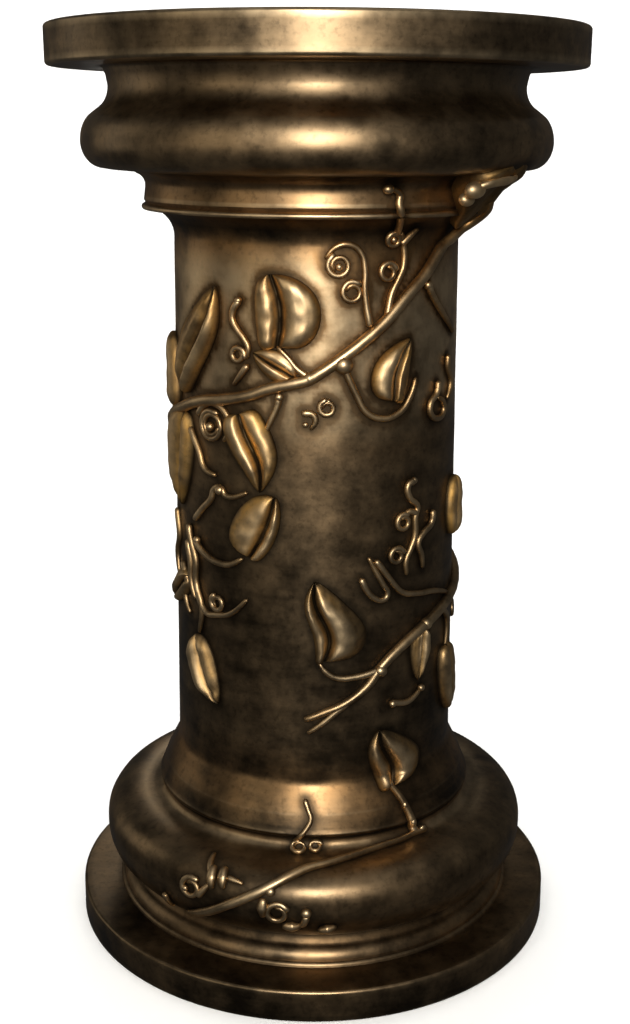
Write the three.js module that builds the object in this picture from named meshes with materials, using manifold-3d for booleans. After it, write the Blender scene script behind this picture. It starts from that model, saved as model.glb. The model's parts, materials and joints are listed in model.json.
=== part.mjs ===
// Column pedestal for a garden or hall: a drum column with a moulded base and capital,
// a thick round top slab, and a vine in relief that winds once round it. One casting.
// Millimetres, +Z up. Origin at the centre of the underside. The front faces -Y.
// Angles are in degrees from the front, growing towards +X.

import * as THREE from 'three';
import { mergeVertices } from 'three/addons/utils/BufferGeometryUtils.js';
import Module from 'manifold-3d';

const wasm = await Module();
wasm.setup();

// Overall sizes
const HEIGHT = 762;
const TOP_RADIUS = 215;
const PLATE_RADIUS = 211.3;

// Base plate and the thin bead and hollow above it
const PLATE_HEIGHT = 27;
const PLATE_ROUND = 2.5;
const BEAD_RADIUS = 177.5;
const BEAD_HEIGHT = 4.5;
const BEAD_STEP = 3;
const SCOTIA_THROAT_RADIUS = 160.8;
const SCOTIA_RISE = 15;
const SCOTIA_STEPS = 3;

// Base torus: a plain round below its ridge, a squarer shoulder above
const TORUS_RIDGE_RADIUS = 187.7;
const TORUS_RIDGE_Z = 82;
const TORUS_UNDER_RISE = 31;
const TORUS_UNDER_DEPTH = 27.7;
const TORUS_SHOULDER_RISE = 30.3;
const TORUS_SHOULDER_DEPTH = 41.4;
const TORUS_SHOULDER_POWER = 0.744;
const TORUS_UNDER_START = -82;
const TORUS_STEPS = 4;

// Foot of the drum: hollow, lip and flare
const FOOT_HOLLOW_RADIUS = 140.5;
const FOOT_HOLLOW_Z = 117;
const FOOT_LIP_RADIUS = 139.5;
const FOOT_LIP_Z = 126;
const FOOT_LIP_ROUND = 2.5;
const FLARE_TOP_Z = 165;
const FLARE_START = 262;
const FLARE_STEPS = 3;

// Drum, slightly wider at the foot
const SHAFT_FOOT_RADIUS = 121.6;
const SHAFT_TOP_RADIUS = 117;
const SHAFT_TOP_Z = 600;

// Neck hollow, band and small hollow under the capital torus
const BAND_RADIUS = 142.8;
const BAND_Z = 624;
const BAND_HEIGHT = 6;
const NECK_STEPS = 3;
const NECK_END = 100;
const SMALL_HOLLOW_RADIUS = 139.3;
const SMALL_HOLLOW_Z = 640;
const SOFFIT_INNER_RADIUS = 150;
const SOFFIT_Z = 652;

// Straight bridge that the vine takes from the drum to the capital's edge, clear of the hollow
const BRIDGE_LEAN_RADIUS = 124;
const BRIDGE_LEAN_Z = 612;
const BRIDGE_BAND_RADIUS = 144.8;
const BRIDGE_SOFFIT_RADIUS = 160;
const BRIDGE_SOFFIT_Z = 644;
const BRIDGE_EDGE_RADIUS = 177.6;
const BRIDGE_EDGE_Z = 654.4;

// Capital torus: the angles are where its round starts below the ridge and ends above it
const CAPITAL_RIDGE_RADIUS = 190;
const CAPITAL_RIDGE_Z = 675;
const CAPITAL_UNDER_DEPTH = 16.4;
const CAPITAL_UNDER_RISE = 20.6;
const CAPITAL_UNDER_START = -72;
const CAPITAL_OVER_DEPTH = 17;
const CAPITAL_OVER_RISE = 24;
const CAPITAL_OVER_END = 58;
const CAPITAL_STEPS = 3;

// Hollow between the capital torus and the slab
const THROAT_RADIUS = 167;
const THROAT_Z = 717;
const THROAT_DEPTH = 14;
const THROAT_DROP = 18;
const THROAT_START = 235;
const THROAT_TOP_RADIUS = 170;
const THROAT_TOP_ROUND = 3;

// Top slab
const SLAB_HEIGHT = 30.7;
const SLAB_ROUND = 2.5;

// Resolution
const BODY_SEGMENTS = 44;
const STEM_STEP = 31;

// Vine: widths across, rises above the surface, and how deep each piece is sunk into the body
const STEM_WIDTH = 9;
const STEM_RISE = 6.5;
const STEM_TAPER = 0.8;
const BRANCH_WIDTH = 6;
const BRANCH_RISE = 4.6;
const TENDRIL_WIDTH = 4;
const TENDRIL_RISE = 3.4;
const TENDRIL_STEP = 0.7 * STEM_STEP;
const SHOULDER_ACROSS = 0.8;
const SHOULDER_RISE = 0.62;
const EMBED = 3;
const BRIDGE_EMBED = 17;

// Leaf: heights of its domed lobes, sunk rib and edge, and the shape of its outline
const LEAF_DOME = 8;
const LEAF_RIB = 3.6;
const LEAF_EDGE = 1.4;
const LEAF_DOME_PLACE = 0.52;
const LEAF_STALK_HALF = 0.5;
const LEAF_FULLNESS = 2;
const LEAF_BASE_POWER = 0.42;
const LEAF_TIP_POWER = 0.62;
const LEAF_STATIONS = [0.01, 0.12, 0.36, 0.62, 0.84, 0.985];

const rad = THREE.MathUtils.degToRad;

// Points on a quarter of an ellipse, or of a squarer curve where the power is below one
function arc(centreR, centreZ, radiusR, radiusZ, from, to, steps, power = 1) {
  const points = [];
  for (let i = 0; i <= steps; i++) {
    const angle = rad(from + ((to - from) * i) / steps);
    const c = Math.cos(angle);
    const s = Math.sin(angle);
    const r = centreR + radiusR * Math.sign(c) * Math.abs(c) ** power;
    const z = centreZ + radiusZ * Math.sign(s) * Math.abs(s) ** power;
    points.push([r, z]);
  }
  return points;
}

// Base torus, from the scotia's throat up to its top
function torusLine(steps) {
  const underCentre = TORUS_RIDGE_RADIUS - TORUS_UNDER_DEPTH;
  const overCentre = TORUS_RIDGE_RADIUS - TORUS_SHOULDER_DEPTH;
  const under = arc(
    underCentre, TORUS_RIDGE_Z, TORUS_UNDER_DEPTH, TORUS_UNDER_RISE,
    TORUS_UNDER_START, 0, steps);
  const over = arc(
    overCentre, TORUS_RIDGE_Z, TORUS_SHOULDER_DEPTH, TORUS_SHOULDER_RISE, 0, 90, steps + 1,
    TORUS_SHOULDER_POWER);
  return [...under, ...over.slice(1)];
}

// Foot lip and the flare that runs up into the drum
function footLine(steps) {
  const flare = arc(
    FOOT_LIP_RADIUS, FLARE_TOP_Z, FOOT_LIP_RADIUS - SHAFT_FOOT_RADIUS,
    FLARE_TOP_Z - FOOT_LIP_Z - FOOT_LIP_ROUND, FLARE_START, 180, steps);
  return [
    [FOOT_HOLLOW_RADIUS, FOOT_HOLLOW_Z],
    [FOOT_LIP_RADIUS, FOOT_LIP_Z - FOOT_LIP_ROUND],
    [FOOT_LIP_RADIUS, FOOT_LIP_Z],
    ...flare,
  ];
}

// Half section of the whole casting, from the axis at the bottom to the axis at the top
function bodyProfile() {
  const beadTop = PLATE_HEIGHT + BEAD_HEIGHT;
  const scotiaRadius = BEAD_RADIUS - BEAD_STEP;
  const scotia = arc(
    scotiaRadius, beadTop + SCOTIA_RISE, scotiaRadius - SCOTIA_THROAT_RADIUS, SCOTIA_RISE,
    270, 180, SCOTIA_STEPS);
  const neck = arc(
    BAND_RADIUS, SHAFT_TOP_Z, BAND_RADIUS - SHAFT_TOP_RADIUS, BAND_Z - SHAFT_TOP_Z,
    180, NECK_END, NECK_STEPS);
  const capitalUnder = arc(
    CAPITAL_RIDGE_RADIUS - CAPITAL_UNDER_DEPTH, CAPITAL_RIDGE_Z, CAPITAL_UNDER_DEPTH,
    CAPITAL_UNDER_RISE, CAPITAL_UNDER_START, 0, CAPITAL_STEPS);
  const capitalOver = arc(
    CAPITAL_RIDGE_RADIUS - CAPITAL_OVER_DEPTH, CAPITAL_RIDGE_Z, CAPITAL_OVER_DEPTH,
    CAPITAL_OVER_RISE, 0, CAPITAL_OVER_END, CAPITAL_STEPS);
  const throat = arc(
    THROAT_RADIUS + THROAT_DEPTH, THROAT_Z, THROAT_DEPTH, THROAT_DROP, THROAT_START, 180,
    CAPITAL_STEPS);
  const slabUnder = HEIGHT - SLAB_HEIGHT;
  return [
    [0, 0],
    [PLATE_RADIUS, 0],
    [PLATE_RADIUS, PLATE_HEIGHT - PLATE_ROUND],
    [PLATE_RADIUS - PLATE_ROUND, PLATE_HEIGHT],
    [BEAD_RADIUS, PLATE_HEIGHT],
    [BEAD_RADIUS, PLATE_HEIGHT + BEAD_HEIGHT / 2],
    ...scotia,
    ...torusLine(TORUS_STEPS),
    ...footLine(FLARE_STEPS),
    ...neck,
    [BAND_RADIUS, BAND_Z + BAND_HEIGHT / 4],
    [BAND_RADIUS, BAND_Z + BAND_HEIGHT],
    [SMALL_HOLLOW_RADIUS, SMALL_HOLLOW_Z],
    [SOFFIT_INNER_RADIUS, SOFFIT_Z],
    ...capitalUnder,
    ...capitalOver.slice(1),
    ...throat,
    [THROAT_TOP_RADIUS, slabUnder - THROAT_TOP_ROUND],
    [THROAT_TOP_RADIUS + THROAT_TOP_ROUND, slabUnder],
    [TOP_RADIUS - SLAB_ROUND, slabUnder],
    [TOP_RADIUS, slabUnder + SLAB_ROUND],
    [TOP_RADIUS, HEIGHT - SLAB_ROUND],
    [TOP_RADIUS - SLAB_ROUND, HEIGHT],
    [0, HEIGHT],
  ];
}

// A closed mesh as a solid for joining
function toSolid(geometry) {
  const bare = new THREE.BufferGeometry();
  bare.setAttribute('position', geometry.getAttribute('position'));
  bare.setIndex(geometry.getIndex());
  const merged = mergeVertices(bare, 1e-4);
  const index = merged.getIndex().array;
  const triangles = [];
  for (let i = 0; i < index.length; i += 3) {
    const [a, b, c] = [index[i], index[i + 1], index[i + 2]];
    if (a !== b && b !== c && c !== a) triangles.push(a, b, c);
  }
  const mesh = new wasm.Mesh({
    numProp: 3,
    vertProperties: new Float32Array(merged.getAttribute('position').array),
    triVerts: new Uint32Array(triangles),
  });
  return new wasm.Manifold(mesh);
}

function lathe(profile, segments) {
  const points = profile.map(([r, z]) => new THREE.Vector2(r, z));
  const geometry = new THREE.LatheGeometry(points, segments);
  geometry.rotateX(Math.PI / 2);
  return geometry;
}

// The surface that the vine lies on: a line of radius and height, walked by its length.
// The length equals the height on the drum.
function makeSkin(line, datumZ) {
  const lengths = [0];
  for (let i = 1; i < line.length; i++) {
    const [r0, z0] = line[i - 1];
    const [r1, z1] = line[i];
    lengths.push(lengths[i - 1] + Math.hypot(r1 - r0, z1 - z0));
  }
  const datum = line.findIndex(([, z]) => Math.abs(z - datumZ) < 1e-6);
  const shift = datumZ - lengths[datum];
  const at = (walk) => {
    let i = 1;
    while (i < line.length - 1 && lengths[i] + shift < walk) i++;
    const t = (walk - shift - lengths[i - 1]) / (lengths[i] - lengths[i - 1]);
    return [0, 1].map((k) => line[i - 1][k] + t * (line[i][k] - line[i - 1][k]));
  };
  const reach = 4;
  return (walk) => {
    const [r, z] = at(walk);
    const [r0, z0] = at(walk - reach);
    const [r1, z1] = at(walk + reach);
    const size = Math.hypot(r1 - r0, z1 - z0);
    return { r, z, normalR: (z1 - z0) / size, normalZ: -(r1 - r0) / size };
  };
}

// Point of the skin at an angle and walk, raised by a lift
function onSkin(skin, angle, walk, lift) {
  const { r, z, normalR, normalZ } = skin(walk);
  const out = r + lift * normalR;
  return [out * Math.sin(angle), -out * Math.cos(angle), z + lift * normalZ];
}

// Closed body through rings that all have the same number of points
function loft(rings) {
  const count = rings[0].length;
  const position = [];
  const index = [];
  for (const ring of rings) for (const point of ring) position.push(...point);
  for (let i = 0; i + 1 < rings.length; i++) {
    for (let j = 0; j < count; j++) {
      const a = i * count + j;
      const b = i * count + ((j + 1) % count);
      index.push(a, b, a + count, b, b + count, a + count);
    }
  }
  const last = (rings.length - 1) * count;
  for (let j = 1; j + 1 < count; j++) {
    index.push(0, j + 1, j);
    index.push(last, last + j, last + j + 1);
  }
  const geometry = new THREE.BufferGeometry();
  geometry.setAttribute('position', new THREE.Float32BufferAttribute(position, 3));
  geometry.setIndex(index);
  return geometry;
}

// Rings along a line on the skin, at the stations given as shares of its length.
// The section gives each ring's offsets, across and lift, from how deep its foot is sunk.
function sweepOnSkin(skin, keys, stations, section) {
  const flat = keys.map(([angle, walk]) => new THREE.Vector3(rad(angle), walk / SHAFT_TOP_RADIUS, 0));
  const curve = new THREE.CatmullRomCurve3(flat, false, 'centripetal');
  const rings = [];
  for (const t of stations) {
    const here = curve.getPointAt(t);
    const along = curve.getTangentAt(t);
    const walk = here.y * SHAFT_TOP_RADIUS;
    const radius = skin(walk).r;
    const stretch = radius / SHAFT_TOP_RADIUS;
    const size = Math.hypot(along.x * stretch, along.y);
    const acrossX = along.y / size;
    const acrossY = -(along.x * stretch) / size;
    const sunk = walk > SHAFT_TOP_Z ? BRIDGE_EMBED : EMBED;
    rings.push(section(t, sunk).map(([across, lift]) => onSkin(
      skin, here.x + (across * acrossX) / radius, walk + across * acrossY, lift)));
  }
  return loft(rings);
}

function pathLength(keys) {
  let total = 0;
  for (let i = 1; i < keys.length; i++) {
    const run = rad(keys[i][0] - keys[i - 1][0]) * SHAFT_TOP_RADIUS;
    total += Math.hypot(run, keys[i][1] - keys[i - 1][1]);
  }
  return total;
}

// A stem: rounded top, flat foot sunk into the body, tapering towards its end
function stem(skin, keys, width, rise, step = STEM_STEP) {
  const steps = Math.max(2, Math.round(pathLength(keys) / step));
  const stations = Array.from({ length: steps + 1 }, (_, i) => i / steps);
  return sweepOnSkin(skin, keys, stations, (t, sunk) => {
    const taper = 1 + (STEM_TAPER - 1) * t;
    const half = (width / 2) * taper;
    const top = rise * taper;
    const side = half * SHOULDER_ACROSS;
    const shoulder = top * SHOULDER_RISE;
    return [[-half, -sunk], [-side, shoulder], [0, top], [side, shoulder], [half, -sunk]];
  });
}

// Half width of a leaf along its length, as a share of the widest: full lobes, pointed tip
function leafShare(t) {
  return LEAF_FULLNESS * t ** LEAF_BASE_POWER * (1 - t) ** LEAF_TIP_POWER;
}

// A leaf from base to tip: two domed lobes beside a sunk rib
function leaf(skin, from, to, width, bend = 0) {
  const middle = [(from[0] + to[0]) / 2 + bend, (from[1] + to[1]) / 2];
  return sweepOnSkin(skin, [from, middle, to], LEAF_STATIONS, (t, sunk) => {
    const half = (width / 2) * leafShare(t) + LEAF_STALK_HALF;
    const swell = Math.min(1, leafShare(t));
    const dome = LEAF_EDGE + (LEAF_DOME - LEAF_EDGE) * swell;
    const rib = LEAF_EDGE + (LEAF_RIB - LEAF_EDGE) * swell;
    return [
      [-half, -sunk], [-half, LEAF_EDGE], [-half * LEAF_DOME_PLACE, dome], [0, rib],
      [half * LEAF_DOME_PLACE, dome], [half, LEAF_EDGE], [half, -sunk],
    ];
  });
}

const bridgeLine = [
  [SHAFT_TOP_RADIUS, SHAFT_TOP_Z],
  [BRIDGE_LEAN_RADIUS, BRIDGE_LEAN_Z],
  [BRIDGE_BAND_RADIUS, BAND_Z + BAND_HEIGHT / 2],
  [BRIDGE_SOFFIT_RADIUS, BRIDGE_SOFFIT_Z],
  [BRIDGE_EDGE_RADIUS, BRIDGE_EDGE_Z],
  [CAPITAL_RIDGE_RADIUS, CAPITAL_RIDGE_Z],
];
const skin = makeSkin([...torusLine(8), ...footLine(6), ...bridgeLine], FLARE_TOP_Z);

// The main stem starts in a fork low on the front, passes round the back and ends at the capital
const mainStem = [
  [-1, 217], [21, 247], [36, 276], [67, 298], [110, 322], [160, 350], [215, 384], [250, 418],
  [276, 447], [303, 469], [341, 489], [369, 514], [386, 542], [404, 575], [413, 593], [428, 618],
];

// Branches and leaf stalks
const branches = [
  { keys: [[8, 228], [-2, 209]] },
  { keys: [[-84, 447], [-66, 417], [-51, 384], [-53, 356], [-54, 320], [-50, 298], [-53, 276]] },
  { keys: [[-2, 502], [-9, 512], [-15, 522]] },
  { keys: [[-53, 356], [-48, 346], [-39, 342], [-30, 352]] },
  { keys: [[9, 514], [13, 497], [19, 472], [29, 468], [36, 478]] },
  { keys: [[27, 262], [16, 255], [8, 256], [3, 268]] },
  { keys: [[47, 568], [54, 555], [64, 540], [78, 522]] },
  { keys: [[49, 289], [46, 280], [46, 268]] },
  { keys: [[60, 296], [70, 280], [68, 258]] },
  { keys: [[36, 107], [35, 129], [31, 149], [27, 176]] },
  { keys: [[40, 104], [22, 103], [10, 88], [-8, 68], [-24, 42], [-34, 24]], thick: true },
  { keys: [[200, 374], [212, 410], [216, 452]] },
  { keys: [[116, 325], [122, 345], [120, 362]] },
  { keys: [[160, 350], [158, 330], [150, 316]] },
];

// The stoutest tendrils
const tendrils = [
  [[20, 540], [18, 577], [15, 592], [8, 598], [5, 588]],
  [[27, 553], [31, 569], [35, 587], [30, 620], [25, 636]],
  [[-28, 556], [-33, 544], [-26, 526], [-30, 511]],
  [[41, 400], [42, 370], [38, 345], [36, 330]],
  [[-54, 320], [-48, 296], [-40, 298], [-30, 308]],
];

// Leaves: base, tip, width, and the sideways bend of the rib in degrees
const leaves = [
  { from: [-14, 517], to: [-12, 582], width: 50 },
  { from: [-52, 470], to: [-41, 562], width: 40, bend: -4 },
  { from: [-72, 455], to: [-80, 525], width: 38 },
  { from: [31, 478], to: [32, 532], width: 32 },
  { from: [-22, 468], to: [-26, 404], width: 40 },
  { from: [-31, 352], to: [-15, 402], width: 34 },
  { from: [-66, 415], to: [-80, 362], width: 34 },
  { from: [-54, 278], to: [-41, 217], width: 24 },
  { from: [-58, 322], to: [-82, 282], width: 28 },
  { from: [9, 268], to: [-1, 338], width: 38, bend: 3 },
  { from: [72, 356], to: [74, 402], width: 30 },
  { from: [46, 282], to: [46, 242], width: 22 },
  { from: [67, 256], to: [71, 197], width: 30 },
  { from: [27, 156], to: [28, 204], width: 34 },
  { from: [121, 350], to: [124, 420], width: 42 },
  { from: [151, 322], to: [140, 262], width: 38 },
  { from: [216, 440], to: [222, 512], width: 44 },
  { from: [172, 362], to: [164, 432], width: 42 },
];
const capitalLeaf = { from: [64, 622], to: [84, 690], width: 30 };

// Join everything into the one casting
let casting = toSolid(lathe(bodyProfile(), BODY_SEGMENTS));
const join = (geometry) => {
  casting = casting.add(toSolid(geometry));
};
join(stem(skin, mainStem, STEM_WIDTH, STEM_RISE));
for (const { keys, thick } of branches) {
  join(stem(skin, keys, thick ? STEM_WIDTH : BRANCH_WIDTH, thick ? STEM_RISE : BRANCH_RISE));
}
for (const keys of tendrils) {
  join(stem(skin, keys, TENDRIL_WIDTH, TENDRIL_RISE, TENDRIL_STEP));
}
for (const { from, to, width, bend } of leaves) join(leaf(skin, from, to, width, bend));
join(leaf(skin, capitalLeaf.from, capitalLeaf.to, capitalLeaf.width));

const result = casting.getMesh();
const geometry = new THREE.BufferGeometry();
geometry.setAttribute('position', new THREE.BufferAttribute(new Float32Array(result.vertProperties), 3));
geometry.setIndex(new THREE.BufferAttribute(new Uint32Array(result.triVerts), 1));

const material = new THREE.MeshStandardMaterial({ color: 0x6b5430, metalness: 0.7, roughness: 0.45 });
const pedestal = new THREE.Mesh(geometry, material);
pedestal.name = 'pedestal';

const part = new THREE.Group();
part.name = 'column_pedestal';
part.add(pedestal);

export default part;
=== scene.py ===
# %% [markdown]
# # A column pedestal in antique bronze
# The real object is one hollow casting: base plate, base torus, drum, capital and a thick round
# top, with a vine in relief that winds once round it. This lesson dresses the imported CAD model.
# The CAD model gives the size; every size below is a share of its height, so the lesson follows
# it when it changes.

# %% Frame and tools
import json
import math

import bmesh
import bpy
import numpy as np
from mathutils import Matrix, Vector, kdtree, noise

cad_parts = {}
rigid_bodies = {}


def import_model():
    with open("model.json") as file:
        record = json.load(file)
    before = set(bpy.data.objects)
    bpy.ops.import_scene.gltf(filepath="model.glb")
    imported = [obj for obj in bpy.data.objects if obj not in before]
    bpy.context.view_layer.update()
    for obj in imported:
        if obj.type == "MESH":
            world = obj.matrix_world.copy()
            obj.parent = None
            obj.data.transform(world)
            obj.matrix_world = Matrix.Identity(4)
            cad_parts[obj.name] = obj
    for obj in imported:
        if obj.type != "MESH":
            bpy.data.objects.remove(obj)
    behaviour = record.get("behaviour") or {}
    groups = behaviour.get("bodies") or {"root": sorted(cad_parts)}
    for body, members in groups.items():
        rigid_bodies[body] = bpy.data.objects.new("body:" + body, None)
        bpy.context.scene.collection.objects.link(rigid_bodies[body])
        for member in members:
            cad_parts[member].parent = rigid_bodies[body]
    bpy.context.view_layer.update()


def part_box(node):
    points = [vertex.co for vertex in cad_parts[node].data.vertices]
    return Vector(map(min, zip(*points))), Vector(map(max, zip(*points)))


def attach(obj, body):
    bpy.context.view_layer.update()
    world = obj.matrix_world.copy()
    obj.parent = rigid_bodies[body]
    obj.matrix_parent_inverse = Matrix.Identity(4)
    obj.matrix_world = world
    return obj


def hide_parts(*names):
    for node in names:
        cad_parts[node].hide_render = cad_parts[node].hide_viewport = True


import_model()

cad_low, cad_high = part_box("pedestal")
HEIGHT_MM = 762.0
MM = (cad_high.z - cad_low.z) / HEIGHT_MM
print("frame box in mm:", [round(v / MM, 1) for v in (*cad_low, *cad_high)])

# %% [markdown]
# ## Sizes of the mouldings
# All sizes are in millimetres of the real pedestal. Radii and heights were read from the outline
# with a camera fitted to it. Each moulding is an arc or a straight band, so a few named sizes
# are enough for the whole half section.

# %% Sizes
TOP_RADIUS = 215.0
SLAB_HEIGHT = 30.7
SLAB_ROUND = 3.0
PLATE_RADIUS = 211.3
PLATE_HEIGHT = 27.0
PLATE_ROUND = 2.6
BEAD_RADIUS = 177.5
BEAD_HEIGHT = 4.5
BEAD_STEP = 3.0
BEAD_ROUND = 4.0
OVOLO_ROUND = 11.5
THROAT_FOOT_RADIUS = 160.8
THROAT_FOOT_Z = 46.5
TORUS_RADIUS = 187.7
TORUS_Z = 82.0
TORUS_UNDER_RISE = 31.0
TORUS_UNDER_DEPTH = 27.7
TORUS_SHOULDER_RISE = 30.3
TORUS_SHOULDER_DEPTH = 41.4
TORUS_SHOULDER_POWER = 0.744
FOOT_HOLLOW_RADIUS = 140.5
FOOT_HOLLOW_Z = 117.0
FOOT_LIP_RADIUS = 139.5
FOOT_LIP_Z = 126.0
FOOT_HOLLOW_ROUND = 8.0
FOOT_LIP_ROUND = 2.5
COVE_ROUND = 16.0
FLARE_TOP_Z = 165.0
DRUM_FOOT_RADIUS = 121.6
DRUM_TOP_RADIUS = 117.0
DRUM_TOP_Z = 600.0
BAND_RADIUS = 142.8
BAND_Z = 624.0
BAND_HEIGHT = 6.0
BAND_FACE_RADIUS = 140.4
BAND_ROUND = 2.0
SMALL_HOLLOW_ROUND = 10.0
SMALL_HOLLOW_RADIUS = 139.6
SMALL_HOLLOW_Z = 639.5
SOFFIT_INNER_RADIUS = 150.0
SOFFIT_Z = 652.0
CAPITAL_RADIUS = 190.0
CAPITAL_Z = 675.0
CAPITAL_UNDER_DEPTH = 16.4
CAPITAL_UNDER_RISE = 20.6
CAPITAL_OVER_DEPTH = 17.0
CAPITAL_OVER_RISE = 24.0
THROAT_RADIUS = 167.0
THROAT_Z = 717.0
THROAT_DEPTH = 14.0
THROAT_DROP = 18.0
THROAT_TOP_RADIUS = 170.0
THROAT_TOP_ROUND = 3.0


def arc(centre, radii, start, end, steps, power=1.0):
    """Points on part of an ellipse; a power below one makes it squarer."""
    points = []
    for i in range(steps + 1):
        angle = math.radians(start + (end - start) * i / steps)
        c, s = math.cos(angle), math.sin(angle)
        r = centre[0] + radii[0] * math.copysign(abs(c) ** power, c)
        z = centre[1] + radii[1] * math.copysign(abs(s) ** power, s)
        points.append((r, z))
    return points


def band(start, end, spacing):
    """Points on a straight stretch, about one spacing apart, without the start."""
    run = math.dist(start, end)
    steps = max(1, round(run / spacing))
    return [
        tuple(a + (b - a) * i / steps for a, b in zip(start, end))
        for i in range(1, steps + 1)
    ]


# %% [markdown]
# ## The half section
# From the axis under the plate, up the outside, to the axis on the top. It could be traced point
# by point, but arcs and bands with named sizes are easier to correct. The drum gets a ring every
# few millimetres, because the dark band beside the leaves, painted shade over patina, is stored
# on its points.

# %% Half section
DRUM_SPACING = 4.0
SLOPE_SPACING = 5.0
FLAT_SPACING = 18.0
FLARE_SPACING = 3.0


def torus_line(steps):
    under = arc((TORUS_RADIUS - TORUS_UNDER_DEPTH, TORUS_Z),
                (TORUS_UNDER_DEPTH, TORUS_UNDER_RISE), -82, 0, steps)
    over = arc((TORUS_RADIUS - TORUS_SHOULDER_DEPTH, TORUS_Z),
               (TORUS_SHOULDER_DEPTH, TORUS_SHOULDER_RISE), 0, 90, steps + 4,
               TORUS_SHOULDER_POWER)
    return under + over[1:]


def foot_line(steps):
    hollow = arc((FOOT_HOLLOW_RADIUS + 4.5, FOOT_HOLLOW_Z + 4.0),
                 (FOOT_HOLLOW_ROUND, FOOT_HOLLOW_ROUND), 250, 165, 6)
    lip = arc((FOOT_LIP_RADIUS - FOOT_LIP_ROUND, FOOT_LIP_Z - 0.5), (FOOT_LIP_ROUND, 2.6),
              -50, 50, 5)
    flare = band(lip[-1], (FOOT_LIP_RADIUS - 6.0, FOOT_LIP_Z + 15.0), FLARE_SPACING)
    flare += band(flare[-1], (DRUM_FOOT_RADIUS + 2.2, FLARE_TOP_Z - 5.0), FLARE_SPACING)
    cove = arc((DRUM_FOOT_RADIUS + COVE_ROUND, FLARE_TOP_Z + 3.0), (COVE_ROUND, COVE_ROUND),
               208, 180, steps)
    return hollow + lip + flare + cove


def half_section():
    bead_top = PLATE_HEIGHT + BEAD_HEIGHT
    ovolo_rim = BEAD_RADIUS - BEAD_STEP
    under_slab = HEIGHT_MM - SLAB_HEIGHT
    line = band((0.0, 0.0), (PLATE_RADIUS - 1.0, 0.0), FLAT_SPACING)
    line.append((PLATE_RADIUS, 1.0))
    line += band(line[-1], (PLATE_RADIUS, PLATE_HEIGHT - PLATE_ROUND), SLOPE_SPACING)
    line += arc((PLATE_RADIUS - PLATE_ROUND, PLATE_HEIGHT - PLATE_ROUND),
                (PLATE_ROUND, PLATE_ROUND), 15, 90, 5)
    line += band(line[-1], (BEAD_RADIUS, PLATE_HEIGHT), SLOPE_SPACING)
    line += arc((BEAD_RADIUS - BEAD_ROUND, PLATE_HEIGHT - 0.5), (BEAD_ROUND, BEAD_ROUND), 8, 75, 5)
    line += arc((ovolo_rim - OVOLO_ROUND, bead_top - 2.0), (OVOLO_ROUND, OVOLO_ROUND), 8, 74, 9)
    line += band(line[-1], (THROAT_FOOT_RADIUS, THROAT_FOOT_Z), 2.0)
    line += torus_line(14)
    line += foot_line(6)
    line += band(line[-1], (DRUM_TOP_RADIUS, DRUM_TOP_Z), DRUM_SPACING)
    line += arc((BAND_RADIUS, DRUM_TOP_Z),
                (BAND_RADIUS - DRUM_TOP_RADIUS, BAND_Z - DRUM_TOP_Z), 176, 95, 12)
    line += arc((BAND_RADIUS - BAND_ROUND, BAND_Z), (BAND_ROUND, 2.2), -60, 70, 6)
    line.append((BAND_FACE_RADIUS - 0.6, BAND_Z + 3.4))
    line += arc((BAND_FACE_RADIUS - 1.2, BAND_Z + BAND_HEIGHT), (1.6, 1.8), -50, 0, 3)
    line += band(line[-1], (SMALL_HOLLOW_RADIUS, SMALL_HOLLOW_Z), 2.0)
    line += arc((SMALL_HOLLOW_RADIUS + SMALL_HOLLOW_ROUND, SMALL_HOLLOW_Z + 1.5),
                (SMALL_HOLLOW_ROUND, 9.5), 175, 110, 6)
    line += [(SOFFIT_INNER_RADIUS, SOFFIT_Z)]
    line += band(line[-1], (CAPITAL_RADIUS - CAPITAL_UNDER_DEPTH - 3, SOFFIT_Z + 1.8),
                 SLOPE_SPACING)
    line += arc((CAPITAL_RADIUS - CAPITAL_UNDER_DEPTH, CAPITAL_Z),
                (CAPITAL_UNDER_DEPTH, CAPITAL_UNDER_RISE), -80, 0, 12)
    line += arc((CAPITAL_RADIUS - CAPITAL_OVER_DEPTH, CAPITAL_Z),
                (CAPITAL_OVER_DEPTH, CAPITAL_OVER_RISE), 0, 56, 8)[1:]
    line += arc((THROAT_RADIUS + THROAT_DEPTH, THROAT_Z), (THROAT_DEPTH, THROAT_DROP), 240, 180, 8)
    line += [(THROAT_TOP_RADIUS - 1.5, under_slab - 6)]
    line += arc((THROAT_TOP_RADIUS + THROAT_TOP_ROUND, under_slab - THROAT_TOP_ROUND),
                (THROAT_TOP_ROUND, THROAT_TOP_ROUND), 180, 90, 4)
    line += band(line[-1], (TOP_RADIUS - SLAB_ROUND, under_slab), SLOPE_SPACING)
    line += arc((TOP_RADIUS - SLAB_ROUND, under_slab + SLAB_ROUND),
                (SLAB_ROUND, SLAB_ROUND), -70, 0, 4)
    line += band(line[-1], (TOP_RADIUS, HEIGHT_MM - SLAB_ROUND), SLOPE_SPACING)
    line += arc((TOP_RADIUS - SLAB_ROUND, HEIGHT_MM - SLAB_ROUND),
                (SLAB_ROUND, SLAB_ROUND), 20, 90, 5)
    line += band(line[-1], (0.0, HEIGHT_MM), FLAT_SPACING)
    return line


section = half_section()
print("half section:", len(section), "points")

# %% [markdown]
# ## Small helpers for working as by hand
# An operator acts on all that is selected, so each step starts by selecting nothing. Points are
# then selected in code by their place, while the mesh is open in edit mode.

# %% Helpers


def start_clean():
    if bpy.context.mode != "OBJECT":
        bpy.ops.object.mode_set(mode="OBJECT")
    bpy.ops.object.select_all(action="DESELECT")


def pick(obj):
    start_clean()
    obj.select_set(True)
    bpy.context.view_layer.objects.active = obj
    return obj


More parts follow.
